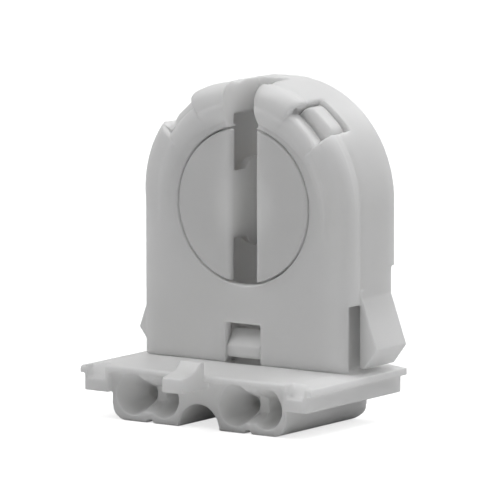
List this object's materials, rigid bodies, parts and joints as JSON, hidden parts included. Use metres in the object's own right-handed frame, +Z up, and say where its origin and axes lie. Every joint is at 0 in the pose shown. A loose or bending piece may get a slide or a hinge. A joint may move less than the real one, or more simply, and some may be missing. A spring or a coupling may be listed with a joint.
{
  "type": "fluorescent tube lamp holder",
  "caption": "Rotary push-through lamp holder for a two-pin fluorescent tube: arched body with a slotted rotor, snap wings, flange plate and push-in wire terminals.",
  "frame": {"origin": "middle of the body on the top face of the flange plate, the face that bears on the sheet from below", "axes": "+Z up through the arch; the tube stands in front on -Y; X runs across the holder"},
  "size_m": [0.0402, 0.0297, 0.0476],
  "materials": {
    "white_plastic": "satin, lightly textured moulding",
    "contact_bronze": "rolled phosphor bronze strip",
    "spring_steel": "bright rolled strip"
  },
  "bodies": {
    "holder": {"arch_cover": "white_plastic", "terminal_base": "white_plastic", "contact_left": "contact_bronze", "contact_right": "contact_bronze", "clamp_spring_outer_left": "spring_steel", "clamp_spring_inner_left": "spring_steel", "clamp_spring_inner_right": "spring_steel", "clamp_spring_outer_right": "spring_steel"},
    "rotor": {"rotor": "white_plastic"}
  },
  "joints": [
    {"name": "rotor_turn", "type": "hinge", "parent": "holder", "child": "rotor", "pos_m": [0, 0, 0.0225], "axis": [0, 1, 0], "range_deg": [-90, 90]}
  ]
}
